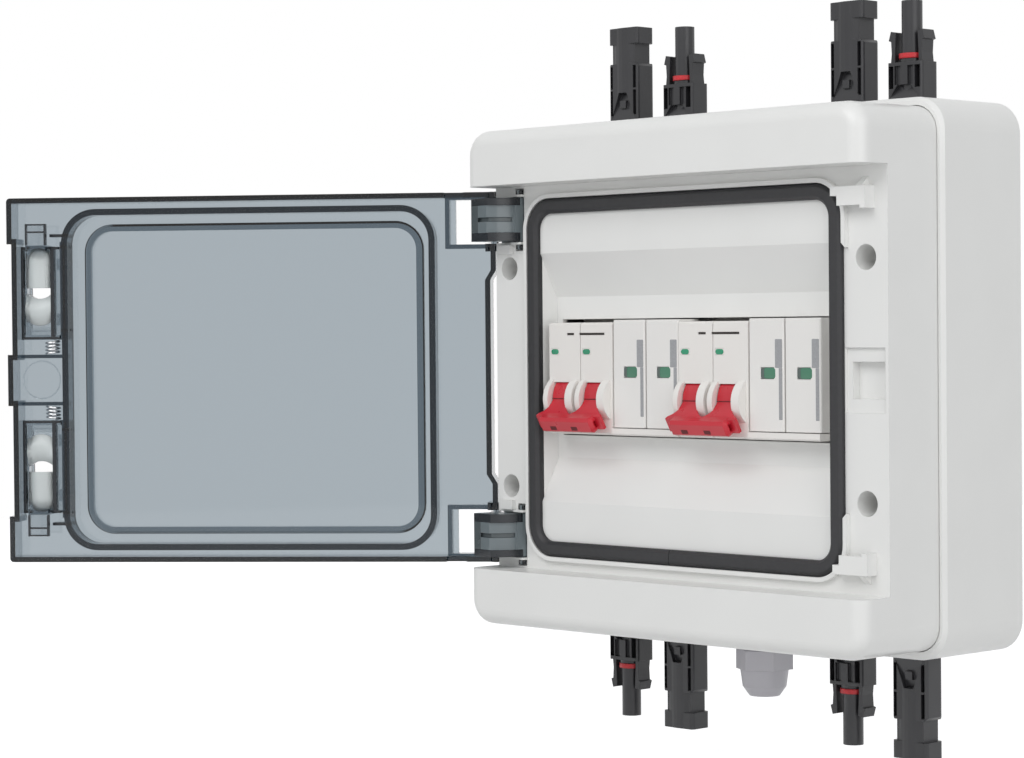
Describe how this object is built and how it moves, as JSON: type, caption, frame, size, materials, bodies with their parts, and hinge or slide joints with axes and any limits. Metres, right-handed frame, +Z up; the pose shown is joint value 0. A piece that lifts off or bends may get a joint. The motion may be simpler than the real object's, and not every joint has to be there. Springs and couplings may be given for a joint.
{
  "type": "solar dc breaker box",
  "caption": "Wall-mounted weatherproof box for a solar direct-current circuit, with a smoked swing door, tied breakers, plug-in surge protectors, panel connectors and a cable gland.",
  "frame": {"origin": "centre of the flat back face, in the wall plane", "axes": "+Z up, +X to the right seen from the front, +Y into the wall, so the door side faces -Y"},
  "size_m": [0.3717, 0.2119, 0.2884],
  "materials": {
    "case_plastic": "off-white moulded, satin",
    "smoked_clear": "smoked transparent plastic",
    "gasket_rubber": "black moulded rubber",
    "seal_rubber": "black rubber cord",
    "red_rubber": "red silicone ring",
    "link_plastic": "smoked moulded plastic",
    "slider_plastic": "smoked moulded plastic",
    "spring_steel": "drawn spring wire",
    "zinc_steel": "bright zinc plated",
    "clip_plastic": "black moulded",
    "module_plastic": "warm white moulded",
    "cartridge_plastic": "white moulded",
    "red_plastic": "red moulded",
    "green_plastic": "green window",
    "connector_plastic": "black moulded",
    "tinned_copper": "tin plated copper",
    "gland_plastic": "pale grey nylon"
  },
  "bodies": {
    "enclosure": {"base_box": "case_plastic", "front_cover": "case_plastic", "door_gasket": "gasket_rubber", "din_rail": "zinc_steel", "rail_clips": "clip_plastic", "left_breaker_case": "module_plastic", "right_breaker_case": "module_plastic", "left_breaker_axle": "zinc_steel", "right_breaker_axle": "zinc_steel", "left_breaker_indicators": "green_plastic", "right_breaker_indicators": "green_plastic", "left_surge_base": "module_plastic", "right_surge_base": "module_plastic", "left_surge_cartridge_one": "cartridge_plastic", "left_surge_cartridge_two": "cartridge_plastic", "right_surge_cartridge_one": "cartridge_plastic", "right_surge_cartridge_two": "cartridge_plastic", "left_surge_flags": "green_plastic", "right_surge_flags": "green_plastic", "wide_connectors": "connector_plastic", "slim_connectors": "connector_plastic", "connector_pins": "tinned_copper", "connector_rings": "red_rubber", "gland_body": "gland_plastic", "gland_nut": "gland_plastic", "gland_seal": "seal_rubber"},
    "hinge_links": {"upper_hinge_link": "link_plastic", "lower_hinge_link": "link_plastic"},
    "door": {"door": "smoked_clear", "upper_latch_spring": "spring_steel", "lower_latch_spring": "spring_steel"},
    "upper_latch": {"upper_latch_slider": "slider_plastic"},
    "lower_latch": {"lower_latch_slider": "slider_plastic"},
    "left_rocker": {"left_breaker_rocker": "red_plastic"},
    "right_rocker": {"right_breaker_rocker": "red_plastic"}
  },
  "joints": [
    {"name": "link_swing", "type": "hinge", "parent": "enclosure", "child": "hinge_links", "pos_m": [-0.0866, -0.078, 0], "axis": [0, 0, -1], "range_deg": [-9, 1.94]},
    {"name": "door_swing", "type": "hinge", "parent": "hinge_links", "child": "door", "pos_m": [-0.10334, -0.07697, 0], "axis": [0, 0, -1], "range_deg": [-130, 28]},
    {"name": "upper_latch_slide", "type": "slide", "parent": "door", "child": "upper_latch", "axis": [0, 0, -1], "range_m": [0, 0.003], "stiffness_N_per_m": 250, "springref_m": -0.004, "deforming": ["upper_latch_spring"]},
    {"name": "lower_latch_slide", "type": "slide", "parent": "door", "child": "lower_latch", "axis": [0, 0, 1], "range_m": [0, 0.003], "stiffness_N_per_m": 250, "springref_m": -0.004, "deforming": ["lower_latch_spring"]},
    {"name": "left_rocker_turn", "type": "hinge", "parent": "enclosure", "child": "left_rocker", "pos_m": [-0.0542, -0.0685, -0.0085], "axis": [-1, 0, 0], "range_deg": [0, 52.6]},
    {"name": "right_rocker_turn", "type": "hinge", "parent": "enclosure", "child": "right_rocker", "pos_m": [0.0168, -0.0685, -0.0085], "axis": [-1, 0, 0], "range_deg": [0, 52.6]}
  ],
  "couplings": [
    {"joint": "link_swing", "follows": "door_swing", "ratio": 0.06923}
  ]
}
